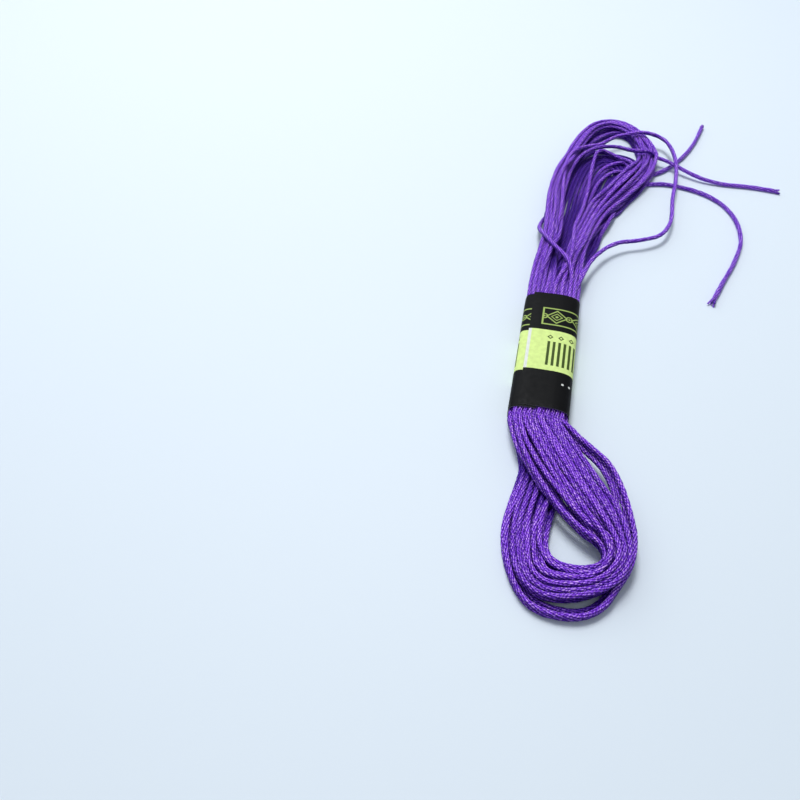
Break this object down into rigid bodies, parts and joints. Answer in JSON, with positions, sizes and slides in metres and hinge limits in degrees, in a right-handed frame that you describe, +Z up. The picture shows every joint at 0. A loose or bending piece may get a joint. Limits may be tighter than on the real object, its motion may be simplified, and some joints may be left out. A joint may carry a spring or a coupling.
{
  "type": "skein of embroidery floss",
  "caption": "Violet stranded embroidery thread wound into a looped skein, held by a paper band, with loose thread ends.",
  "frame": {"origin": "centre of the paper band's flat underside, on the surface the skein lies on", "axes": "+Y along the skein from the band to its far loop, +X to the right, +Z up"},
  "size_m": [0.071, 0.1856, 0.0068],
  "materials": {
    "floss": "mercerised cotton with a satin sheen, six loosely laid strands",
    "label": "coated paper, black with a lime green panel"
  },
  "bodies": {
    "root": {"skein": "floss", "paper_band": "label", "free_end_short": "floss", "free_end_straight": "floss", "free_end_curved": "floss"}
  },
  "joints": []
}
